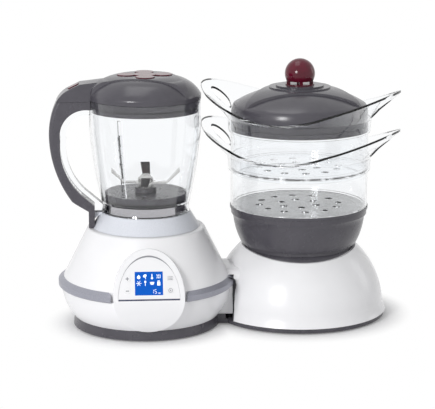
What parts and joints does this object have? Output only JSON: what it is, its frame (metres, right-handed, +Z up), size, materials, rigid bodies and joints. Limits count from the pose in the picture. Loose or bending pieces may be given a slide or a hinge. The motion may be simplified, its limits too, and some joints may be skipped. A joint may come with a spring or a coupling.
{
  "type": "baby food maker",
  "caption": "Countertop baby food maker: a jug blender with a sloping display console beside a stacked basket steamer on one shared base.",
  "frame": {"origin": "middle of the footprint of the whole object, on the table plane under the feet", "axes": "+X from the blender to the steamer, +Y to the back, +Z up; the console faces -Y"},
  "size_m": [0.3616, 0.2146, 0.2714],
  "materials": {
    "dark": "satin",
    "white": "gloss",
    "band": "satin",
    "cherry": "gloss",
    "clear": "clear",
    "display": "gloss",
    "board": "satin",
    "steel": "brushed",
    "black": "matte",
    "rubber": "matte"
  },
  "bodies": {
    "base": {"base_plate": "dark", "rubber_feet": "rubber", "case_screws": "steel", "blender_lower_housing": "white", "blender_upper_housing": "white", "waist_band": "band", "cord_gland": "rubber", "neck_bridge": "white", "console_housing": "white", "console_face": "white", "display_panel": "display", "control_board": "board", "key_switches": "black", "motor_bracket": "steel", "motor_body": "steel", "lid_switch": "black", "steamer_housing": "white", "water_tank": "dark", "heating_plate": "steel", "heating_element": "steel", "thermostat": "black"},
    "drive": {"motor_shaft": "steel", "cooling_fan": "black", "drive_dog": "black"},
    "plus_key": {"key_plus": "white"},
    "minus_key": {"key_minus": "white"},
    "mode_key": {"key_mode": "white"},
    "start_key": {"key_start": "white"},
    "jug": {"jug_body": "clear", "handle_grip": "dark", "blade_seat": "dark", "blade_seal": "rubber", "blade_nut": "steel", "blade_bush": "black"},
    "pin": {"interlock_pin": "black"},
    "cutter": {"blade_shaft": "steel", "blade_hub": "steel", "blades": "steel", "blade_cap_nut": "steel", "jug_socket": "black"},
    "jug_lid": {"blender_lid": "dark", "lid_gasket": "rubber"},
    "cap": {"filler_cap": "cherry"},
    "button": {"release_button": "cherry"},
    "juice_bowl": {"bowl": "dark"},
    "basket_low": {"lower_basket": "clear"},
    "basket_high": {"upper_basket": "clear"},
    "cover": {"steamer_lid": "dark", "lid_top_plate": "dark", "lid_knob": "cherry", "knob_screw": "steel"}
  },
  "joints": [
    {"name": "motor_spin", "type": "hinge", "parent": "base", "child": "drive", "pos_m": [-0.08284, -0.01567, 0.1035], "axis": [0, 0, 1], "continuous": true},
    {"name": "plus_press", "type": "slide", "parent": "base", "child": "plus_key", "axis": [0, 0.8944, -0.4472], "range_m": [0, 0.0008], "stiffness_N_per_m": 600},
    {"name": "minus_press", "type": "slide", "parent": "base", "child": "minus_key", "axis": [0, 0.8944, -0.4472], "range_m": [0, 0.0008], "stiffness_N_per_m": 600},
    {"name": "mode_press", "type": "slide", "parent": "base", "child": "mode_key", "axis": [0, 0.8944, -0.4472], "range_m": [0, 0.0008], "stiffness_N_per_m": 600},
    {"name": "start_press", "type": "slide", "parent": "base", "child": "start_key", "axis": [0, 0.8944, -0.4472], "range_m": [0, 0.0008], "stiffness_N_per_m": 600},
    {"name": "jug_lift", "type": "slide", "parent": "base", "child": "jug", "axis": [0, 0, 1], "range_m": [0, 0.15]},
    {"name": "pin_press", "type": "slide", "parent": "jug", "child": "pin", "axis": [0, 0, -1], "range_m": [0, 0.003], "stiffness_N_per_m": 300},
    {"name": "cutter_spin", "type": "hinge", "parent": "jug", "child": "cutter", "pos_m": [-0.08284, -0.01567, 0.1035], "axis": [0, 0, 1], "continuous": true},
    {"name": "jug_lid_lift", "type": "slide", "parent": "jug", "child": "jug_lid", "axis": [0, 0, 1], "range_m": [0, 0.1]},
    {"name": "cap_lift", "type": "slide", "parent": "jug_lid", "child": "cap", "axis": [0, 0, 1], "range_m": [0, 0.04]},
    {"name": "button_press", "type": "slide", "parent": "jug_lid", "child": "button", "axis": [0.4361, 0, -0.8999], "range_m": [0, 0.0015], "stiffness_N_per_m": 500},
    {"name": "bowl_lift", "type": "slide", "parent": "base", "child": "juice_bowl", "axis": [0, 0, 1], "range_m": [0, 0.15]},
    {"name": "low_basket_lift", "type": "slide", "parent": "juice_bowl", "child": "basket_low", "axis": [0, 0, 1], "range_m": [0, 0.12]},
    {"name": "high_basket_lift", "type": "slide", "parent": "basket_low", "child": "basket_high", "axis": [0, 0, 1], "range_m": [0, 0.12]},
    {"name": "cover_lift", "type": "slide", "parent": "basket_high", "child": "cover", "axis": [0, 0, 1], "range_m": [0, 0.12]}
  ],
  "couplings": [
    {"joint": "cutter_spin", "follows": "motor_spin", "ratio": 1}
  ]
}
